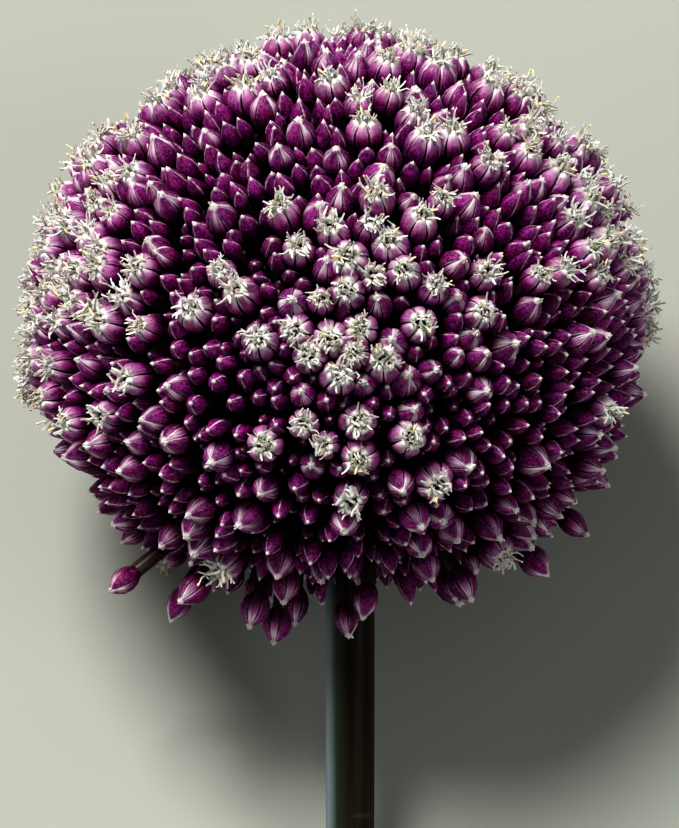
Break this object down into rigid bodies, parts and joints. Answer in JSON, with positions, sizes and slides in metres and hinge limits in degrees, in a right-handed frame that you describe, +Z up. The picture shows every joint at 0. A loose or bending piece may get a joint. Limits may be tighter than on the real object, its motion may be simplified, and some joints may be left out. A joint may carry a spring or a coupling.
{
  "type": "allium flower head",
  "caption": "Round purple onion-family flower head on a short cut stem, lying down: open florets and buds on thin stalks fan out from one knob.",
  "frame": {"origin": "on the surface that the flower lies on, under the middle of its bounding box", "axes": "+Z up, +Y from the cut end of the stem towards the flower head, +X across the stem"},
  "size_m": [0.079, 0.107, 0.0777],
  "materials": {
    "tepals": "satin petal",
    "stamens": "matte",
    "pedicels": "satin",
    "scape": "satin waxy stem"
  },
  "bodies": {
    "root": {"umbel": "tepals", "scape": "scape"}
  },
  "joints": []
}
